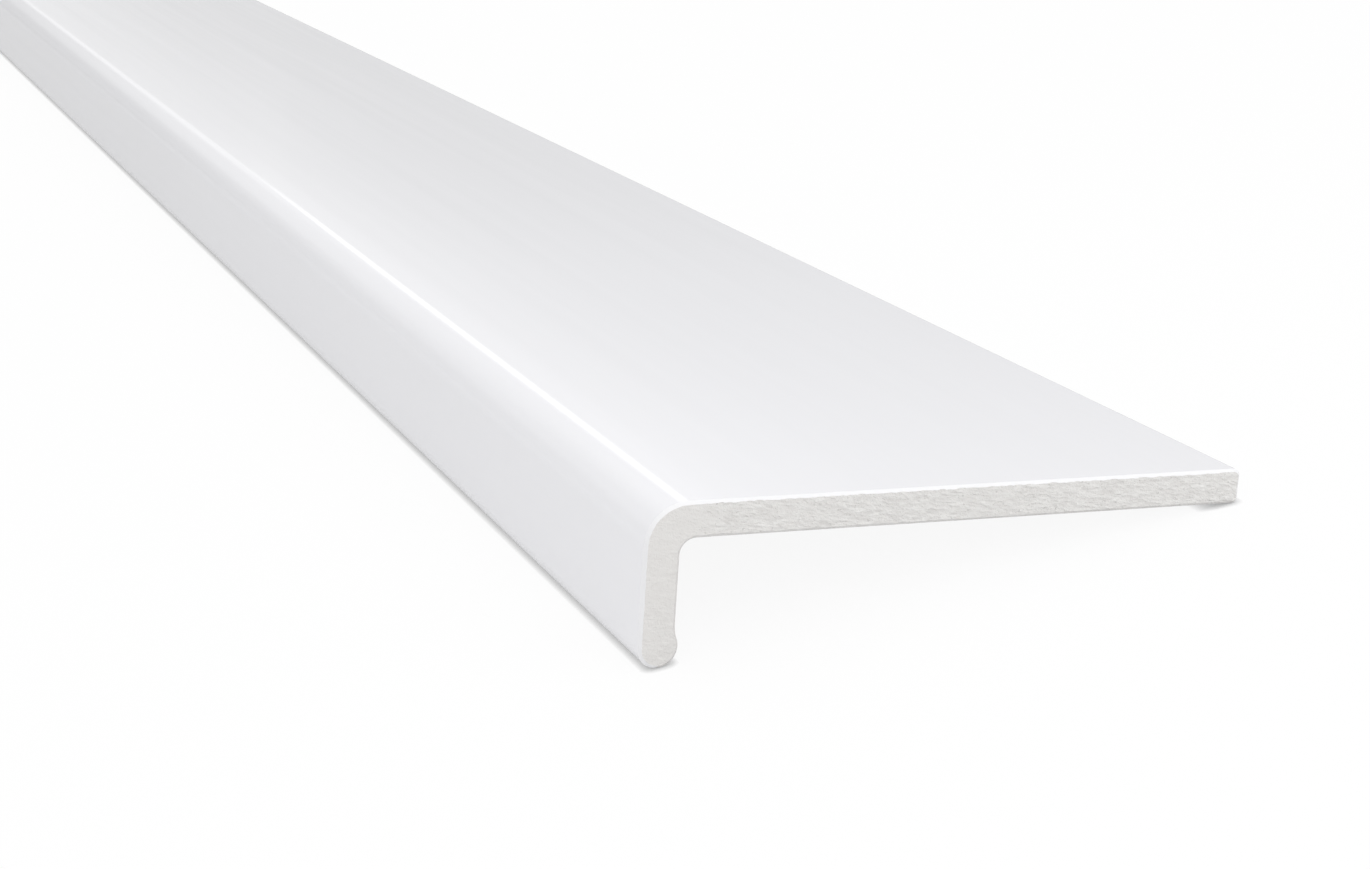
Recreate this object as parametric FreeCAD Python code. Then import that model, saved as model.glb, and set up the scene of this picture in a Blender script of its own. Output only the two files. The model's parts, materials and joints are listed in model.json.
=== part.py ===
import FreeCAD, Part
import math
import os

# Window sill board: one length of extruded white cellular PVC, sold to cap an old sill.
# A flat plate rolls over a round nose into a short leg, and the leg ends in a bead.
# Sizes are in millimetres. The board lies as it comes to rest on a floor, on its bead and its back edge.

# Lengths of the stock
BOARD_LENGTH = 1250.0
BOARD_DEPTH = 160.0  # from the front of the leg to the back edge
NOSE_DROP = 40.0  # from the face of the plate to the lowest point of the bead

# Walls of the section
PLATE_THICKNESS = 9.0
LEG_THICKNESS = 9.0
BEAD_BULGE = 1.0  # the bead stands this far out behind the leg

# Roundings of the section
NOSE_RADIUS = 10.5  # face to leg, outside
INNER_RADIUS = 4.0  # underside to leg, inside
BEAD_BLEND_RADIUS = 10.0  # hollow that leads from the back of the leg into the bead
BACK_FACE_RADIUS = 2.0  # back edge to face
BACK_UNDER_RADIUS = 1.5  # back edge to underside

# Finish of the two sawn ends
EASED_EDGE = 0.75  # flat at 45 degrees, all round the arris

# Sizes that follow
BEAD_RADIUS = (LEG_THICKNESS + BEAD_BULGE) / 2
TOUCHING = 1e-6  # two points nearer than this are one


# The section is drawn in the plane of Y and Z, with the front of the leg on Y = 0 and the face on Z = 0.
def at(y, z):
    return FreeCAD.Vector(0, y, z)


def on_circle(centre, radius, degrees):
    turn = math.radians(degrees)
    return centre + at(radius * math.cos(turn), radius * math.sin(turn))


NOSE_CENTRE = at(NOSE_RADIUS, -NOSE_RADIUS)
BEAD_CENTRE = at(BEAD_RADIUS, BEAD_RADIUS - NOSE_DROP)
INNER_CENTRE = at(LEG_THICKNESS + INNER_RADIUS, -PLATE_THICKNESS - INNER_RADIUS)
BACK_UNDER_CENTRE = at(BOARD_DEPTH - BACK_UNDER_RADIUS, BACK_UNDER_RADIUS - PLATE_THICKNESS)
BACK_FACE_CENTRE = at(BOARD_DEPTH - BACK_FACE_RADIUS, -BACK_FACE_RADIUS)


def blend_centre():
    """Centre of the hollow that touches both the back of the leg and the bead."""
    reach = BEAD_BLEND_RADIUS + BEAD_RADIUS
    back = LEG_THICKNESS + BEAD_BLEND_RADIUS - BEAD_RADIUS
    return BEAD_CENTRE + at(back, math.sqrt(reach**2 - back**2))


def section():
    """The face of the die: a closed chain of arcs, each joined to the next by a straight run."""
    hollow = blend_centre()
    towards_hollow = hollow - BEAD_CENTRE
    meeting = math.degrees(math.atan2(towards_hollow.z, towards_hollow.y))
    # centre, radius and the directions where the arc starts and ends, in degrees from the back
    arcs = [
        (NOSE_CENTRE, NOSE_RADIUS, 90, 180),
        (BEAD_CENTRE, BEAD_RADIUS, 180, 360 + meeting),
        (hollow, BEAD_BLEND_RADIUS, 180 + meeting, 180),
        (INNER_CENTRE, INNER_RADIUS, 180, 90),
        (BACK_UNDER_CENTRE, BACK_UNDER_RADIUS, 270, 360),
        (BACK_FACE_CENTRE, BACK_FACE_RADIUS, 0, 90),
    ]
    edges = []
    for index, (centre, radius, start, end) in enumerate(arcs):
        middle = on_circle(centre, radius, (start + end) / 2)
        last = on_circle(centre, radius, end)
        edges.append(Part.Arc(on_circle(centre, radius, start), middle, last).toShape())
        next_centre, next_radius, next_start, _ = arcs[(index + 1) % len(arcs)]
        first = on_circle(next_centre, next_radius, next_start)
        if last.distanceToPoint(first) > TOUCHING:
            edges.append(Part.LineSegment(last, first).toShape())
    return Part.Face(Part.Wire(edges))


def sawn_stock():
    """The section at full length, centred on X, with the arris eased round both sawn ends."""
    profile = section()
    profile.translate(FreeCAD.Vector(-BOARD_LENGTH / 2, 0, 0))
    stock = profile.extrude(FreeCAD.Vector(BOARD_LENGTH, 0, 0))
    ends = [face for face in stock.Faces if abs(face.CenterOfMass.x) > BOARD_LENGTH / 2 - TOUCHING]
    arrises = [edge for face in ends for edge in face.Edges]
    return stock.makeChamfer(EASED_EDGE, arrises)


def resting_turn():
    """Turn that lays the common tangent of the bead and the lower back edge on the floor."""
    span = BACK_UNDER_CENTRE - BEAD_CENTRE
    rise = math.atan2(span.z, span.y)
    dip = math.asin((BACK_UNDER_RADIUS - BEAD_RADIUS) / span.Length)
    return FreeCAD.Rotation(FreeCAD.Vector(1, 0, 0), -math.degrees(rise - dip))


def laid_down(stock):
    """The stock as it rests, with the origin under the middle of its outer box."""
    turn = resting_turn()
    bead = turn.multVec(BEAD_CENTRE)
    back = turn.multVec(BACK_FACE_CENTRE)
    front_reach = bead.y - BEAD_RADIUS
    back_reach = back.y + BACK_FACE_RADIUS
    stock.rotate(FreeCAD.Vector(0, 0, 0), turn.Axis, math.degrees(turn.Angle))
    stock.translate(at(-(front_reach + back_reach) / 2, BEAD_RADIUS - bead.z))
    return stock


board = laid_down(sawn_stock())
os.makedirs("parts", exist_ok=True)
board.exportStep("parts/window_sill_board.step")

box = board.BoundBox
print(f"window_sill_board: {len(board.Solids)} solid, valid {board.isValid()}, {board.Volume / 1000:.1f} cm3")
print(f"tilt at rest {math.degrees(resting_turn().Angle):.2f} degrees")
print(f"X {box.XMin:.3f} to {box.XMax:.3f}, Y {box.YMin:.3f} to {box.YMax:.3f}, Z {box.ZMin:.3f} to {box.ZMax:.3f}")
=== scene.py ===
# %% [markdown]
# # A white window sill board
# The real thing is one length of cellular PVC, pushed through a die, cooled to a smooth white skin and
# sawn to length. We load the measured model first, because it fixes where the board lies and how large
# it is. Then we build a finer copy of the board over it: smoother roundings, an eased arris and the rough
# face that the saw leaves.

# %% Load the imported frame
import json
import math

import bmesh
import bpy
from mathutils import Matrix, Vector


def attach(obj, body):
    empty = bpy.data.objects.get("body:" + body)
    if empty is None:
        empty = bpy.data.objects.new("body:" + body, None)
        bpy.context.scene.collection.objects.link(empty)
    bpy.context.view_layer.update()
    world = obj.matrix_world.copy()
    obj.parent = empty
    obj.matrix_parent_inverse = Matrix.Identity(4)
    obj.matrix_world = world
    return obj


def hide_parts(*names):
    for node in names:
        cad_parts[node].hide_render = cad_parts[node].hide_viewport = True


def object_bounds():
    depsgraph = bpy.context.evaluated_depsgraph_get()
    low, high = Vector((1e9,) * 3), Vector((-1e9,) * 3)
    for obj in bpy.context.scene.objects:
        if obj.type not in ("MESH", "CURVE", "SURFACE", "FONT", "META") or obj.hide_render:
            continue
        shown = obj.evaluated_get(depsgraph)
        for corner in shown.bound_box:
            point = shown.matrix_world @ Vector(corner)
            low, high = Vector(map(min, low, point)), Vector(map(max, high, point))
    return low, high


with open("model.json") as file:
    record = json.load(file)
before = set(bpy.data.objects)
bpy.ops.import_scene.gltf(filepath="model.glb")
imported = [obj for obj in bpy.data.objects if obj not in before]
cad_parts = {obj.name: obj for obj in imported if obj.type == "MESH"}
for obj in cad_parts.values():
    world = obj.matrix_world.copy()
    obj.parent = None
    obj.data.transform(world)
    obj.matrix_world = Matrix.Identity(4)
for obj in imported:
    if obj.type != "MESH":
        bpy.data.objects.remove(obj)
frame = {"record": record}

cad_low, cad_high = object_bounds()
print("measured box, mm:", [round(1000 * (high - low), 2) for low, high in zip(cad_low, cad_high)])

# %% [markdown]
# ## Sizes and the lie of the board
# The section is easiest to draw level, with the front of the leg at zero depth and the face of the plate
# at zero height. The board itself lies tipped, on its bead and its back edge. The model's interfaces say
# how far it is tipped: the underside gives the upward direction of the section, and the back edge gives
# the direction of depth.

# %% Name the sizes
MM = 0.001
BOARD_LENGTH = cad_high.x - cad_low.x
BOARD_DEPTH = 160 * MM
NOSE_DROP = 40 * MM
PLATE_THICKNESS = 9 * MM
LEG_THICKNESS = 9 * MM
BEAD_RADIUS = 5 * MM
NOSE_RADIUS = 10.5 * MM
INNER_RADIUS = 4 * MM
HOLLOW_RADIUS = 10 * MM
BACK_FACE_RADIUS = 2 * MM
BACK_UNDER_RADIUS = 1.5 * MM

mounts = {mount["name"]: mount for mount in frame["record"]["mounts"]}
section_up = -Vector(mounts["underside"]["axis"])
section_back = Vector(mounts["back_edge"]["axis"])
face_height = Vector(mounts["underside"]["pos_m"]).dot(section_up) + PLATE_THICKNESS
front_depth = Vector(mounts["back_edge"]["pos_m"]).dot(section_back) - BOARD_DEPTH
board_place = section_up * face_height + section_back * front_depth
board_tilt = math.atan2(section_up.y, section_up.z)
print("the board is tipped by", round(math.degrees(board_tilt), 2), "degrees")

# %% [markdown]
# ## The corners of the die section
# A die section is straight runs and round corners that flow into each other. Each corner is an arc that
# touches the runs on both sides, so its centre and its two directions say all about it. One corner takes
# a little geometry: the hollow above the bead has to touch both the back of the leg and the bead.

# %% Work out the corners
# The measured model's roundings are coarser. A hair inside the true outline keeps ours within its box.
HAIR = 0.03 * MM


def at(depth, height):
    return Vector((-BOARD_LENGTH / 2, depth, height))


nose_centre = at(NOSE_RADIUS, -NOSE_RADIUS)
bead_centre = at(BEAD_RADIUS, BEAD_RADIUS - NOSE_DROP)
inner_centre = at(LEG_THICKNESS + INNER_RADIUS, -PLATE_THICKNESS - INNER_RADIUS)
under_centre = at(BOARD_DEPTH - BACK_UNDER_RADIUS, BACK_UNDER_RADIUS - PLATE_THICKNESS)
face_centre = at(BOARD_DEPTH - BACK_FACE_RADIUS, -BACK_FACE_RADIUS)

hollow_reach = HOLLOW_RADIUS + BEAD_RADIUS
hollow_back = LEG_THICKNESS + HOLLOW_RADIUS - BEAD_RADIUS
hollow_rise = math.sqrt(hollow_reach**2 - hollow_back**2)
hollow_centre = bead_centre + Vector((0, hollow_back, hollow_rise))
meeting = math.degrees(math.atan2(hollow_rise, hollow_back))

# centre, radius, directions of the start and the end in degrees from the back, and steps
corners = [
    (nose_centre, NOSE_RADIUS - HAIR, 90, 180, 36),
    (bead_centre, BEAD_RADIUS - HAIR, 180, 360 + meeting, 40),
    (hollow_centre, HOLLOW_RADIUS + HAIR, 180 + meeting, 180, 10),
    (inner_centre, INNER_RADIUS + HAIR, 180, 90, 16),
    (under_centre, BACK_UNDER_RADIUS - HAIR, 270, 360, 10),
    (face_centre, BACK_FACE_RADIUS - HAIR, 0, 90, 12),
]
print(len(corners), "corners, and the hollow meets the bead", round(meeting, 1), "degrees above level")

# %% [markdown]
# ## The outline, walked with one vertex
# The outline could be bevelled out of a box, but bevels can't give the bead with the hollow above it. So
# we collapse a plane to one vertex and walk it round: spin it about the centre of each corner, then
# extrude it along the run to the next. A short step at both ends of a run keeps the flats truly flat when
# the corners are shaded smooth.

# %% Walk one vertex round the outline
HOLD = 0.25 * MM
TOUCHING = 0.001 * MM


def on_corner(centre, radius, degrees):
    turn = math.radians(degrees)
    return centre + Vector((0, radius * math.cos(turn), radius * math.sin(turn)))


def select_where(kind, test):
    """Selects the edited mesh's verts, edges or faces that pass the test, and returns how many."""
    bpy.ops.mesh.select_all(action="DESELECT")
    mesh = bmesh.from_edit_mesh(bpy.context.object.data)
    chosen = [item for item in getattr(mesh, kind) if test(item)]
    for item in chosen:
        item.select_set(True)
    bmesh.update_edit_mesh(bpy.context.object.data)
    return len(chosen)


def walk(here, there):
    """Extrudes the selected vertex from here to there."""
    bpy.ops.mesh.extrude_region_move(TRANSFORM_OT_translate={"value": there - here})


bpy.ops.object.select_all(action="DESELECT")
bpy.ops.mesh.primitive_plane_add(size=HOLD, location=on_corner(*corners[0][:3]))
board = bpy.context.object
board.name = "sill_board"
bpy.ops.object.transform_apply(location=True, rotation=True, scale=True)
bpy.ops.object.mode_set(mode="EDIT")
bpy.ops.mesh.select_mode(type="VERT")
bpy.ops.mesh.select_all(action="SELECT")
bpy.ops.mesh.merge(type="CENTER")
for index, (centre, radius, start, end, steps) in enumerate(corners):
    # The operator turns clockwise about its axis, so the angle is negative.
    bpy.ops.mesh.spin(steps=steps, angle=-math.radians(end - start), center=centre, axis=(1, 0, 0))
    run_start = on_corner(centre, radius, end)
    run_end = on_corner(*corners[(index + 1) % len(corners)][:3])
    run = run_end - run_start
    select_where("verts", lambda vert: (vert.co - run_start).length < TOUCHING)
    if run.length > TOUCHING:
        hold = run.normalized() * HOLD
        walk(run_start, run_start + hold)
        walk(run_start + hold, run_end - hold)
        walk(run_end - hold, run_end)
bpy.ops.mesh.select_all(action="SELECT")
bpy.ops.mesh.remove_doubles(threshold=TOUCHING)
bpy.ops.mesh.edge_face_add()
bpy.ops.object.mode_set(mode="OBJECT")
print("the outline has", len(board.data.vertices), "points and", len(board.data.polygons), "face")

# %% [markdown]
# ## Length and arris
# Extrusion is the real process too: the section is pushed out to its length. After the cut, somebody runs
# a scraper round the sharp arris of each end. The flat that it leaves is bevelled here with one segment.
# It is a little wider than the measured one, by the depth that the saw marks will take away.

# %% Push the section out and ease both ends
EASED_EDGE = 0.75 * MM
SAW_DEPTH = 0.18 * MM


def at_an_end(edge):
    """Both verts of the edge lie at the same end of the board."""
    return abs(sum(vert.co.x for vert in edge.verts)) > BOARD_LENGTH - TOUCHING


bpy.ops.object.mode_set(mode="EDIT")
bpy.ops.mesh.select_all(action="SELECT")
bpy.ops.mesh.extrude_region_move(TRANSFORM_OT_translate={"value": (BOARD_LENGTH, 0, 0)})
bpy.ops.mesh.select_all(action="SELECT")
bpy.ops.mesh.normals_make_consistent(inside=False)
bpy.ops.mesh.select_mode(type="EDGE")
arrises = select_where("edges", at_an_end)
bpy.ops.mesh.bevel(offset=EASED_EDGE + SAW_DEPTH, offset_type="OFFSET", segments=1, affect="EDGES")
bpy.ops.object.mode_set(mode="OBJECT")
print(arrises, "edges eased, and the board has", len(board.data.polygons), "faces")

# %% [markdown]
# ## The marks of the saw
# A saw doesn't leave a plane. In foam it tears cells open and drags the soft plastic along, so the cut
# shows crumpled ridges along the plate and fine slanting tooth marks. They could be sculpted, but noise
# does it evenly and can be tuned. Each texture gets an empty as its guide, whose scale is the length and
# width of one mark, and whose turn is the slant of the marks.

# %% Describe the marks
def marks(name, kind, length, width, slant, **settings):
    texture = bpy.data.textures.new(name, kind)
    texture.noise_scale = 1.0
    for key, value in settings.items():
        setattr(texture, key, value)
    bpy.ops.object.empty_add(rotation=(0, 0, math.radians(slant)))
    guide = bpy.context.object
    guide.name = name
    guide.scale = (length, width, width)
    print(name, "are", round(length / MM, 2), "mm long and", round(width / MM, 2), "mm wide")
    return texture, guide


torn_ridges = marks("torn_ridges", "MUSGRAVE", 2.6 * MM, 0.95 * MM, -10,
                    musgrave_type="RIDGED_MULTIFRACTAL", octaves=3)
drag_waves = marks("drag_waves", "CLOUDS", 6.5 * MM, 1.9 * MM, 6, noise_depth=2, noise_type="HARD_NOISE")
tooth_marks = marks("tooth_marks", "CLOUDS", 3.0 * MM, 0.6 * MM, -28, noise_depth=1)
bpy.context.view_layer.update()

# %% [markdown]
# ## A rough slab for each end
# Bump alone would leave a ruler-straight border between the cut and the eased arris. So we cut as the saw
# did: a slab with a rough face is taken off each end. The rough face is a fine grid, pushed in by the
# three kinds of marks. The nose and the leg, which are denser, tear less than the plate.

# %% Tear a rough face
SAW_GRAIN = 0.22 * MM
SAW_MARGIN = 1.5 * MM
RIDGE_DEPTH = 0.16 * MM
WAVE_DEPTH = 0.10 * MM
TOOTH_DEPTH = 0.06 * MM
LEG_TEAR = 0.35


def press(slab, texture, guide, depth, group=""):
    """Pushes the slab's face towards the board by up to this depth."""
    bpy.ops.object.modifier_add(type="DISPLACE")
    relief = slab.modifiers[-1]
    relief.texture = texture
    relief.texture_coords = "OBJECT"
    relief.texture_coords_object = guide
    relief.direction = "Z"
    relief.mid_level = 1.0
    relief.strength = depth
    relief.vertex_group = group
    bpy.ops.object.modifier_apply(modifier=relief.name)


def rough_face(name, side):
    """A level grid with the saw's relief, drawn as the end on this side is seen from outside."""
    width = BOARD_DEPTH + 2 * SAW_MARGIN
    height = NOSE_DROP + 2 * SAW_MARGIN
    bpy.ops.object.select_all(action="DESELECT")
    bpy.ops.mesh.primitive_grid_add(
        x_subdivisions=round(width / SAW_GRAIN), y_subdivisions=round(height / SAW_GRAIN), size=1
    )
    slab = bpy.context.object
    slab.name = name
    slab.scale = (width, height, 1)
    slab.location = (side * BOARD_DEPTH / 2, -NOSE_DROP / 2, 0)
    bpy.ops.object.transform_apply(location=True, rotation=True, scale=True)
    plate = slab.vertex_groups.new(name="plate")
    for vert in slab.data.vertices:
        past_leg = side * vert.co.x - LEG_THICKNESS
        plate.add([vert.index], min(1.0, max(LEG_TEAR, past_leg / NOSE_RADIUS)), "REPLACE")
    press(slab, *torn_ridges, RIDGE_DEPTH, "plate")
    press(slab, *drag_waves, WAVE_DEPTH, "plate")
    press(slab, *tooth_marks, TOOTH_DEPTH)
    heights = [vert.co.z for vert in slab.data.vertices]
    relief = max(heights) - min(heights)
    print(name, "has", len(heights), "points and", round(relief / MM, 3), "mm of relief")
    return slab


slabs = {1: rough_face("near_saw_slab", 1), -1: rough_face("far_saw_slab", -1)}
for _, guide in (torn_ridges, drag_waves, tooth_marks):
    bpy.data.objects.remove(guide)

# %% [markdown]
# ## From a rough face to a slab
# A boolean needs a closed body, so each rough face is extruded outwards to a slab. First the cells that
# touch no part of the board are deleted, which saves the boolean a lot of work. The slab is then stood up
# at its end, just deep enough that the highest crest of the relief still cuts.

# %% Thicken the faces and set them to the ends
LEAST_CUT = 0.01 * MM
SLAB = 4 * MM
SPARE = 3 * SAW_MARGIN


def pick(thing):
    """Makes this the only selected object, and the active one."""
    bpy.ops.object.select_all(action="DESELECT")
    bpy.context.view_layer.objects.active = thing
    thing.select_set(True)


def is_spare(face):
    """No cell is needed under the plate, behind the leg."""
    middle = face.calc_center_median()
    return abs(middle.x) > LEG_THICKNESS + SPARE and middle.y < -PLATE_THICKNESS - SPARE


for side, slab in slabs.items():
    pick(slab)
    bpy.ops.object.mode_set(mode="EDIT")
    bpy.ops.mesh.select_mode(type="FACE")
    select_where("faces", is_spare)
    bpy.ops.mesh.delete(type="FACE")
    top = max(vert.co.z for vert in bmesh.from_edit_mesh(slab.data).verts)
    bpy.ops.mesh.select_all(action="SELECT")
    bpy.ops.transform.translate(value=(0, 0, -LEAST_CUT - top))
    bpy.ops.mesh.extrude_region_move(TRANSFORM_OT_translate={"value": (0, 0, SLAB)})
    bpy.ops.mesh.select_all(action="SELECT")
    bpy.ops.mesh.normals_make_consistent(inside=False)
    bpy.ops.object.mode_set(mode="OBJECT")
    cuts = [-vert.co.z for vert in slab.data.vertices if vert.co.z < SLAB / 2]
    print(slab.name, "cuts", round(sum(cuts) / len(cuts) / MM, 3), "mm on average and",
          round(max(cuts) / MM, 3), "mm at most")
    slab.rotation_euler = (math.radians(90), 0, side * math.radians(90))
    slab.location = (side * BOARD_LENGTH / 2, 0, 0)
    bpy.ops.object.transform_apply(location=True, rotation=True, scale=True)

# %% [markdown]
# ## Finishes
# The board is one plastic with three surfaces: the skin, the scraped arris and the sawn foam. Painted
# pictures could give them, but patterns worked out from real sizes stay sharp from near and far. Two
# helpers keep the node work short: one turns the hex colours that we read on a screen into the linear
# light that the renderer counts in, and the other adds a node with its settings and links.

# %% Turn hex colours linear and add nodes
def linear(hex_colour):
    """An sRGB hex value as linear red, green, blue and alpha."""
    channels = [int(hex_colour[i:i + 2], 16) / 255 for i in (1, 3, 5)]
    return [c / 12.92 if c <= 0.04045 else ((c + 0.055) / 1.055) ** 2.4 for c in channels] + [1.0]


def add_node(tree, kind, settings=(), links=()):
    """Adds a node: settings go to its inputs or properties, and links join sources to its inputs."""
    node = tree.nodes.new(kind)
    for key, value in dict(settings).items():
        if isinstance(key, int) or key in node.inputs:
            node.inputs[key].default_value = value
        else:
            setattr(node, key, value)
    for key, source in dict(links).items():
        tree.links.new(source, node.inputs[key])
    return node


def new_material(name):
    material = bpy.data.materials.new(name)
    material.use_nodes = True
    material.node_tree.nodes.clear()
    return material, material.node_tree


# A Mix node has a socket for each kind of value. These are the ones for colours.
MIX_A, MIX_B, MIX_RESULT = 6, 7, 2
PVC_IOR = 1.53
print("a screen grey of #808080 is", round(linear("#808080")[0], 3), "in linear light")

# %% [markdown]
# ## The extruded skin
# The skin froze against a polished, cooled die. That gives the eye a cool white with soft reflections and
# the faintest drag lines along the length. The lines change the roughness a little, and a swell of a few
# thousandths of a millimetre keeps the reflections from looking like glass.

# %% The skin
skin, tree = new_material("extruded_pvc_skin")
place = add_node(tree, "ShaderNodeTexCoord").outputs["Object"]
# Drag lines run the whole length: a mark is 400 mm long and about 7 mm wide.
drag = add_node(tree, "ShaderNodeMapping",
                {"vector_type": "TEXTURE", "Rotation": (-board_tilt, 0, 0),
                 "Scale": (400 * MM, 7 * MM, 7 * MM)},
                {"Vector": place})
lines = add_node(tree, "ShaderNodeTexNoise", {"Scale": 1.0, "Detail": 3.0, "Roughness": 0.6},
                 {"Vector": drag.outputs["Vector"]})
tone = add_node(tree, "ShaderNodeMix",
                {"data_type": "RGBA", MIX_A: linear("#EFEFF2"), MIX_B: linear("#F1F1F4")},
                {"Factor": lines.outputs["Fac"]})
# The drag lines polish the skin unevenly: die-cooled PVC has a roughness of about 0.15.
polish = add_node(tree, "ShaderNodeMapRange", {"To Min": 0.13, "To Max": 0.18},
                  {"Value": lines.outputs["Fac"]})
# Faint orange peel, 3 mm from swell to swell.
peel = add_node(tree, "ShaderNodeTexNoise", {"Scale": 1 / (3 * MM), "Detail": 1.0}, {"Vector": place})
swell = add_node(tree, "ShaderNodeBump", {"Strength": 0.5, "Distance": 0.004 * MM},
                 {"Height": peel.outputs["Fac"]})
shader = add_node(tree, "ShaderNodeBsdfPrincipled", {"IOR": PVC_IOR},
                  {"Base Color": tone.outputs[MIX_RESULT], "Roughness": polish.outputs["Result"],
                   "Normal": swell.outputs["Normal"]})
add_node(tree, "ShaderNodeOutputMaterial", links={"Surface": shader.outputs["BSDF"]})
print(skin.name, "has", len(tree.nodes), "nodes")

# %% [markdown]
# ## The scraped arris
# Scraping leaves fine scratches that scatter the light, so the eased arris looks whiter than the skin and
# hardly mirrors. Round the nose and down the leg the arris turns away from the light overhead, and there
# its colour is painted darker: painted shade that follows the depth in the section.

# %% The arris
arris, tree = new_material("scraped_pvc_arris")
place = add_node(tree, "ShaderNodeTexCoord").outputs["Object"]
# A stroke of the scraper is about 1.5 mm wide.
scrape = add_node(tree, "ShaderNodeTexNoise", {"Scale": 1 / (1.5 * MM), "Detail": 2.0}, {"Vector": place})
bright = add_node(tree, "ShaderNodeMix",
                  {"data_type": "RGBA", MIX_A: linear("#ECECEE"), MIX_B: linear("#F0F0F1")},
                  {"Factor": scrape.outputs["Fac"]})


def in_section(tree, place):
    """The place in the level section: its Y is the depth from the leg's front."""
    return add_node(tree, "ShaderNodeMapping",
                    {"vector_type": "TEXTURE", "Location": board_place, "Rotation": (-board_tilt, 0, 0)},
                    {"Vector": place}).outputs["Vector"]


depth = add_node(tree, "ShaderNodeSeparateXYZ", links={"Vector": in_section(tree, place)})
# Painted shade: within 0.6 nose radii of the leg's front the arris fades to the duller colour.
painted_front_shade = add_node(tree, "ShaderNodeMapRange", {"From Min": 0.0, "From Max": 0.6 * NOSE_RADIUS},
                {"Value": depth.outputs["Y"]})
tone = add_node(tree, "ShaderNodeMix", {"data_type": "RGBA", MIX_A: linear("#E9E9EB")},
                {"Factor": painted_front_shade.outputs["Result"], MIX_B: bright.outputs[MIX_RESULT]})
shader = add_node(tree, "ShaderNodeBsdfPrincipled", {"Roughness": 0.45, "IOR": PVC_IOR},
                  {"Base Color": tone.outputs[MIX_RESULT]})
add_node(tree, "ShaderNodeOutputMaterial", links={"Surface": shader.outputs["BSDF"]})
print(arris.name, "has", len(tree.nodes), "nodes")

# %% [markdown]
# ## The sawn foam: tone
# The cut lays the foam open. It looks matt, warmer and greyer than the skin, because light gets lost in
# the torn cells. A plain grey would look like paint, so the tone follows the creases that the saw drags
# along the plate, with painted shade in the hollows between them, and a few deep cells are painted darker
# still, as painted shade.

# %% The tone of the foam
foam, tree = new_material("sawn_cellular_pvc")
place = add_node(tree, "ShaderNodeTexCoord").outputs["Object"]
section = in_section(tree, place)
depth = add_node(tree, "ShaderNodeSeparateXYZ", links={"Vector": section})
# The plate tears most. The nose and the leg stay smoother.
tear = add_node(tree, "ShaderNodeMapRange",
                {"From Min": LEG_THICKNESS, "From Max": LEG_THICKNESS + NOSE_RADIUS,
                 "To Min": LEG_TEAR, "To Max": 1.0},
                {"Value": depth.outputs["Y"]})
# Crumpled creases run along the plate. One is about 4 mm long and 0.9 mm wide.
along = add_node(tree, "ShaderNodeMapping",
                 {"vector_type": "TEXTURE", "Rotation": (math.radians(-6), 0, 0),
                  "Scale": (0.9 * MM, 4 * MM, 0.9 * MM)},
                 {"Vector": section})
creases = add_node(tree, "ShaderNodeTexNoise",
                   {"Scale": 1.0, "Detail": 3.0, "Roughness": 0.6, "Distortion": 0.5},
                   {"Vector": along.outputs["Vector"]})
# Painted shade: the hollows between the creases are painted darker, so only their crests are pale.
crests = add_node(tree, "ShaderNodeMapRange", {"From Min": 0.35, "From Max": 0.65},
                  {"Value": creases.outputs["Fac"]})
painted_crease_shade = add_node(tree, "ShaderNodeMath", {"operation": "MULTIPLY"},
                {0: crests.outputs["Result"], 1: tear.outputs["Result"]})
tone = add_node(tree, "ShaderNodeMix",
                {"data_type": "RGBA", MIX_A: linear("#DAD8D6"), MIX_B: linear("#E5E4E2")},
                {"Factor": painted_crease_shade.outputs["Value"]})
# Painted shade: a few torn cells are deep, and their shade is painted in as a darker tone.
torn = add_node(tree, "ShaderNodeTexNoise", {"Scale": 1 / (0.9 * MM), "Detail": 2.0}, {"Vector": place})
deep = add_node(tree, "ShaderNodeMapRange", {"From Min": 0.66, "From Max": 0.76},
                {"Value": torn.outputs["Fac"]})
painted_pit_shade = add_node(tree, "ShaderNodeMath", {"operation": "MULTIPLY"},
                {0: deep.outputs["Result"], 1: tear.outputs["Result"]})
tone = add_node(tree, "ShaderNodeMix", {"data_type": "RGBA", MIX_B: linear("#BFBDBA")},
                {"Factor": painted_pit_shade.outputs["Value"], MIX_A: tone.outputs[MIX_RESULT]})
print("the tone of the foam takes", len(tree.nodes), "nodes")

# %% [markdown]
# ## The sawn foam: relief
# The slab gives the coarse relief. What is too fine for a mesh is bump: the creases, the slanting tooth
# marks and the cut cells themselves. The three bumps are chained, so each one rides on the one before.

# %% The relief of the foam
crumpled = add_node(tree, "ShaderNodeBump", {"Distance": 0.5 * MM},
                    {"Height": creases.outputs["Fac"], "Strength": tear.outputs["Result"]})
# Tooth marks slant down to the back. Real ones are finer. They are drawn 0.45 mm apart so that they show.
slanted = add_node(tree, "ShaderNodeMapping",
                   {"vector_type": "TEXTURE", "Rotation": (math.radians(-28), 0, 0),
                    "Scale": (0.45 * MM, 2.4 * MM, 0.45 * MM)},
                   {"Vector": section})
teeth = add_node(tree, "ShaderNodeTexNoise", {"Scale": 1.0, "Detail": 3.0, "Roughness": 0.6},
                 {"Vector": slanted.outputs["Vector"]})
scored = add_node(tree, "ShaderNodeBump", {"Distance": 0.2 * MM},
                  {"Height": teeth.outputs["Fac"], "Strength": tear.outputs["Result"],
                   "Normal": crumpled.outputs["Normal"]})
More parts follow.
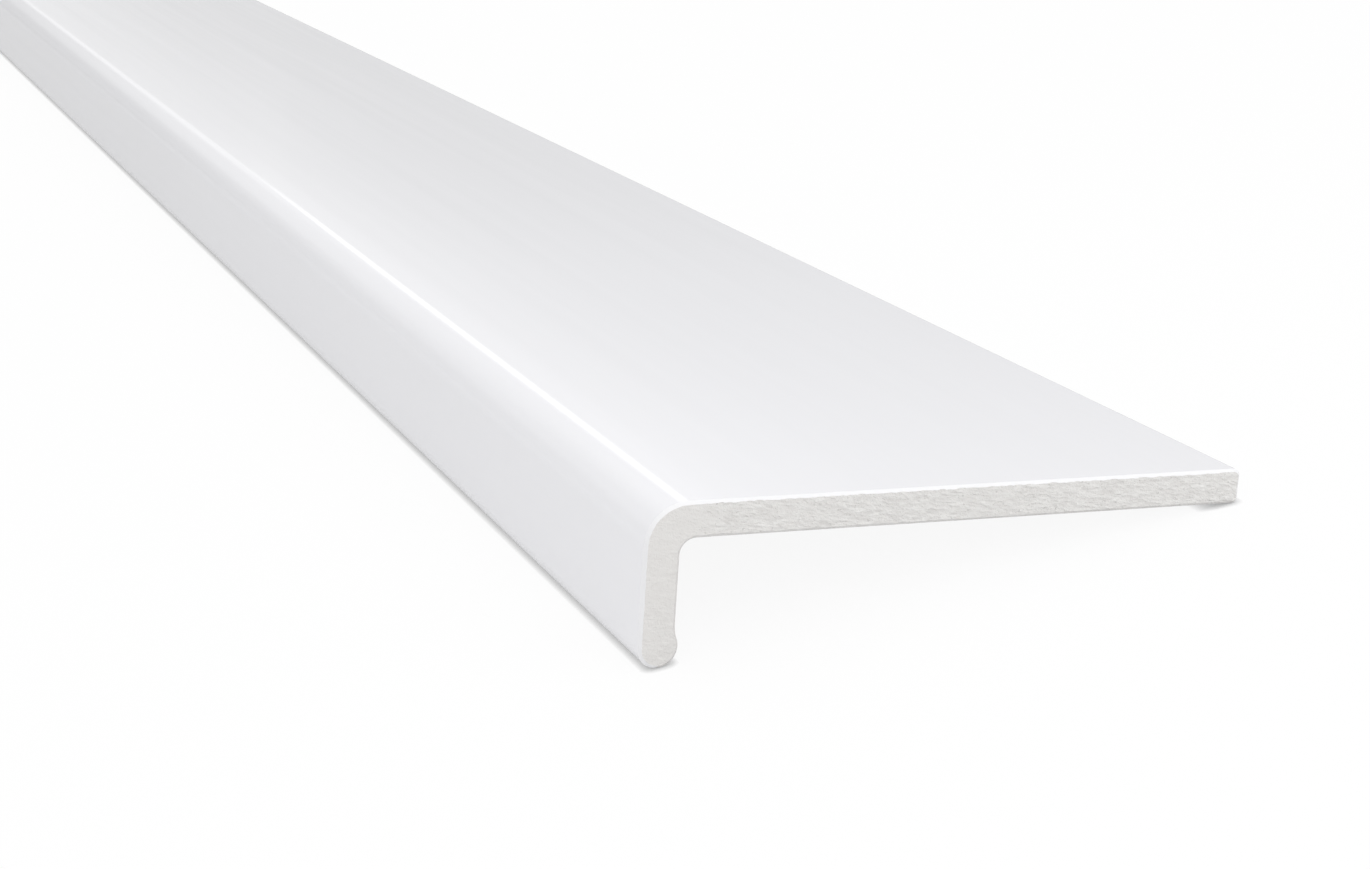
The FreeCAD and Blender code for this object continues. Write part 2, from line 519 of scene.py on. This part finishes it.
# Cut cells, drawn 0.45 mm wide, about twice their real size.
cells = add_node(tree, "ShaderNodeTexVoronoi", {"Scale": 1 / (0.45 * MM)}, {"Vector": place})
pitted = add_node(tree, "ShaderNodeBump", {"Strength": 1.0, "Distance": 0.08 * MM},
                  {"Height": cells.outputs["Distance"], "Normal": scored.outputs["Normal"]})
shader = add_node(tree, "ShaderNodeBsdfPrincipled", {"Roughness": 0.9, "IOR": PVC_IOR},
                  {"Base Color": tone.outputs[MIX_RESULT], "Normal": pitted.outputs["Normal"]})
add_node(tree, "ShaderNodeOutputMaterial", links={"Surface": shader.outputs["BSDF"]})
print(foam.name, "has", len(tree.nodes), "nodes in all")

# %% [markdown]
# ## Sawing
# The slabs carry the foam finish, so the faces that they leave behind get it by themselves. The flats of
# the arris are the faces that slant towards an end. The scraper runs round the outside of the section. On
# the inside, below the plate and behind the leg, the arris is only broken and shows bare foam.

# %% Saw both ends off
FINISHES = [skin, arris, foam]
# The arris stands at 45 degrees to the end: neither along the board nor square to it.
SLANT_LOW, SLANT_HIGH = 0.5, 0.9
# A little below the middle of the plate, so that the flat of the back edge still counts as outside.
INSIDE_BELOW = -0.6 * PLATE_THICKNESS

for finish in FINISHES:
    board.data.materials.append(finish)
for polygon in board.data.polygons:
    if SLANT_LOW < abs(polygon.normal.x) < SLANT_HIGH:
        inside = polygon.center.y > BEAD_RADIUS and polygon.center.z < INSIDE_BELOW
        polygon.material_index = FINISHES.index(foam if inside else arris)
pick(board)
for slab in slabs.values():
    slab.data.materials.append(foam)
    bpy.ops.object.modifier_add(type="BOOLEAN")
    saw = board.modifiers[-1]
    saw.object = slab
    saw.operation = "DIFFERENCE"
    saw.solver = "EXACT"
    saw.material_mode = "TRANSFER"
    bpy.ops.object.modifier_apply(modifier=saw.name)
    bpy.data.objects.remove(slab)
print("sawn board:", len(board.data.polygons), "faces,", len(board.data.materials), "finishes")

# %% [markdown]
# ## Laying the board down
# So far the board is level, which kept every selection simple. Now it is tipped and moved to its place in
# one go, and the transform is applied, so the finished object sits at the origin with its place in its
# mesh. Smooth shading by angle rounds the arcs of the section and keeps the arris crisp.

# %% Lay the board down
SMOOTH_BELOW = math.radians(30)

board.rotation_euler = (-board_tilt, 0, 0)
board.location = board_place
bpy.ops.object.transform_apply(location=True, rotation=True, scale=True)
bpy.ops.object.shade_smooth_by_angle(angle=SMOOTH_BELOW)
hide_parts("window_sill_board")
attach(board, "root")
board.data.calc_loop_triangles()
print("the board has", len(board.data.loop_triangles), "triangles")

# %% [markdown]
# ## Floor
# The board lies on a white studio floor that runs out of the picture, so the floor is the background too.
# To the camera it is mostly a plain white glow, and the rest is white paint that shows the shadow. In
# reflections it glows less, as a floor that is merely lit does. Where the board touches the floor the glow
# is dimmed: a painted contact shadow, which leaves a thin dark line there.

# %% Lay the floor
FLOOR_SIZE = 30
GLOW_SHARE = 0.92
OPEN_GLOW = 1.0
CONTACT_GLOW = 0.35
MIRRORED_GLOW = 0.62
CONTACT = 2 * MM
CONTACT_RAYS = 3

bpy.ops.object.select_all(action="DESELECT")
bpy.ops.mesh.primitive_plane_add(size=FLOOR_SIZE)
floor = bpy.context.object
floor.name = "floor"
floor_paint, tree = new_material("rolled_white_studio_paint")
ray = add_node(tree, "ShaderNodeLightPath").outputs
mirrored = add_node(tree, "ShaderNodeMath", {"operation": "MAXIMUM"},
                    {0: ray["Is Glossy Ray"], 1: ray["Is Transmission Ray"]})
seen = add_node(tree, "ShaderNodeMath", {"operation": "MAXIMUM"},
                {0: ray["Is Camera Ray"], 1: mirrored.outputs["Value"]})
share = add_node(tree, "ShaderNodeMath", {"operation": "MULTIPLY", 1: GLOW_SHARE},
                 {0: seen.outputs["Value"]})
# Painted contact shadow: near the board the glow drops to CONTACT_GLOW.
nearby = add_node(tree, "ShaderNodeAmbientOcclusion", {"samples": CONTACT_RAYS, "Distance": CONTACT})
painted_contact_shadow = add_node(tree, "ShaderNodeMapRange", {"To Min": CONTACT_GLOW, "To Max": OPEN_GLOW},
                  {"Value": nearby.outputs["AO"]})
softened = add_node(tree, "ShaderNodeMapRange", {"To Min": 1.0, "To Max": MIRRORED_GLOW},
                    {"Value": mirrored.outputs["Value"]})
strength = add_node(tree, "ShaderNodeMath", {"operation": "MULTIPLY"},
                    {0: painted_contact_shadow.outputs["Result"], 1: softened.outputs["Result"]})
glow = add_node(tree, "ShaderNodeEmission", links={"Strength": strength.outputs["Value"]})
paint = add_node(tree, "ShaderNodeBsdfPrincipled", {"Base Color": linear("#F2F2F2"), "Roughness": 0.8})
mixed = add_node(tree, "ShaderNodeMixShader",
                 links={0: share.outputs["Value"], 1: paint.outputs["BSDF"], 2: glow.outputs["Emission"]})
add_node(tree, "ShaderNodeOutputMaterial", links={"Surface": mixed.outputs["Shader"]})
floor.data.materials.append(floor_paint)
print("the floor is", FLOOR_SIZE, "m wide, and", round(100 * GLOW_SHARE), "% of its look is glow")

# %% [markdown]
# ## The air of the studio
# White on white needs soft light that differs a little from side to side, or the shape disappears. Most
# of the light comes from the air overhead, so the board looks white from every side. Near the horizon the
# air is dimmer. The face of the plate mirrors that part, and so the plate darkens towards its back edge.
# The camera sees the air as plain white, like the floor.

# %% Light the studio's air
# height over the horizon in degrees, and share of the full glow
AIR = [(0, 0.32), (2.5, 0.61), (5, 0.46), (10, 0.52), (15, 0.71), (20, 0.58), (26, 0.52), (33, 1.0)]
AIR_GLOW = 1.06

world = bpy.data.worlds.new("studio_air")
bpy.context.scene.world = world
world.use_nodes = True
tree = world.node_tree
tree.nodes.clear()
towards = add_node(tree, "ShaderNodeTexCoord").outputs["Generated"]
height = add_node(tree, "ShaderNodeSeparateXYZ", links={"Vector": towards})
ramp = add_node(tree, "ShaderNodeValToRGB", links={"Fac": height.outputs["Z"]})
stops = ramp.color_ramp.elements
stops.remove(stops[1])
for degrees, bright_share in AIR:
    stop = stops[0] if degrees == 0 else stops.new(math.sin(math.radians(degrees)))
    stop.color = (bright_share, bright_share, bright_share, 1)
air = add_node(tree, "ShaderNodeBackground", {"Strength": AIR_GLOW}, {"Color": ramp.outputs["Color"]})
white = add_node(tree, "ShaderNodeBackground", {"Color": linear("#FFFFFF"), "Strength": 1.0})
ray = add_node(tree, "ShaderNodeLightPath").outputs
mixed = add_node(tree, "ShaderNodeMixShader",
                 links={0: ray["Is Camera Ray"], 1: air.outputs["Background"],
                        2: white.outputs["Background"]})
add_node(tree, "ShaderNodeOutputWorld", links={"Surface": mixed.outputs["Shader"]})
print("the air glows in", len(stops), "steps, up to", AIR_GLOW)

# %% [markdown]
# ## Lamps
# Two soft lamps stand round the near end, and their light falls off along the board. Long panels hang
# beyond the far end, behind and above the nose. The nose mirrors them towards the camera, each part of
# its rounding another panel, and the lowest ones draw the fine bright line along the start of the nose.

# %% Hang the lamps
PANEL_DISTANCE = 1.3


def lamp(name, place, size, power):
    """A soft rectangular lamp that the camera doesn't see."""
    data = bpy.data.lights.new(name, "AREA")
    data.shape = "RECTANGLE"
    data.size, data.size_y = size
    data.energy = power
    made = bpy.data.objects.new(name, data)
    made.location = place
    made.visible_camera = False
    bpy.context.scene.collection.objects.link(made)
    print(name, "gives", power, "W from", round(size[0], 2), "by", round(size[1], 2), "m")
    return made


def softbox(name, place, aim, size, power):
    """A lamp near the board, left out of reflections: it would burn a white patch into the plate."""
    made = lamp(name, place, size, power)
    made.visible_glossy = False
    made.rotation_euler = (Vector(aim) - Vector(place)).to_track_quat("-Z", "Y").to_euler()


def panel(name, low, high, start, end, power):
    """A panel along the board. Seen from the nose it fills the directions from low to high, in degrees."""
    nose = board_place + section_back * NOSE_RADIUS
    edges = []
    for degrees in (low, high):
        turn = math.radians(degrees)
        edges.append(nose + PANEL_DISTANCE * Vector((0, math.cos(turn), math.sin(turn))))
    across = edges[1] - edges[0]
    place = (edges[0] + edges[1]) / 2
    place.x = (start + end) / 2
    made = lamp(name, place, (abs(end - start), across.length), power)
    made.rotation_euler = (math.atan2(-across.z, -across.y), 0, 0)


# place, aim and size in metres, then watts
softbox("close_end", (1.25, 0.5, 0.45), (0.62, 0.02, 0), (0.9, 0.8), 2.35)
softbox("close_front", (0.9, -0.6, 0.35), (0.6, -0.06, 0.02), (1.0, 0.8), 0.65)
# lowest and highest direction in degrees, start and end along the board in metres, then watts
panel("nose_line", 28, 50, -1.0, -4.0, 4.3)
panel("canopy_low", 44, 75, -1.1, -4.2, 0.94)
panel("canopy_high", 75, 122, -1.1, -4.2, 1.32)
panel("far_line", 22, 38, -4.2, -9.0, 1.37)
panel("far_low", 34, 60, -4.2, -9.0, 4.0)
panel("far_high", 60, 122, -4.2, -9.0, 1.89)

# %% [markdown]
# ## Camera
# The photo is taken from near the sawn end, from a little above and in front of the nose. Place, angles
# and lens come from fitting a camera to the outline of the sawn end and to the long edges.

# %% Set up the camera
CAMERA_PLACE = (1.110932, -0.240970, 0.236287)
CAMERA_AZIMUTH = math.radians(69.956)
CAMERA_ELEVATION = math.radians(19.386)
CAMERA_ROLL = math.radians(-7.419)
# lens and sensor in millimetres, as a camera gives them
LENS = 64.245
SENSOR_WIDTH = 36
CLIP_START = 0.01

camera_data = bpy.data.cameras.new("camera")
camera = bpy.data.objects.new("camera", camera_data)
bpy.context.scene.collection.objects.link(camera)
bpy.context.scene.camera = camera
camera_data.lens = LENS
camera_data.sensor_width = SENSOR_WIDTH
camera_data.clip_start = CLIP_START
camera.location = CAMERA_PLACE
level = math.cos(CAMERA_ELEVATION)
look = Vector((-math.sin(CAMERA_AZIMUTH) * level, math.cos(CAMERA_AZIMUTH) * level,
               -math.sin(CAMERA_ELEVATION)))
turn = look.to_track_quat("-Z", "Y").to_matrix() @ Matrix.Rotation(CAMERA_ROLL, 3, "Z")
camera.rotation_euler = turn.to_euler()
bpy.context.scene.view_settings.view_transform = "Standard"
near_end = Vector((cad_high.x, 0, 0))
print("the camera stands", round((camera.location - near_end).length, 3), "m from the sawn end")
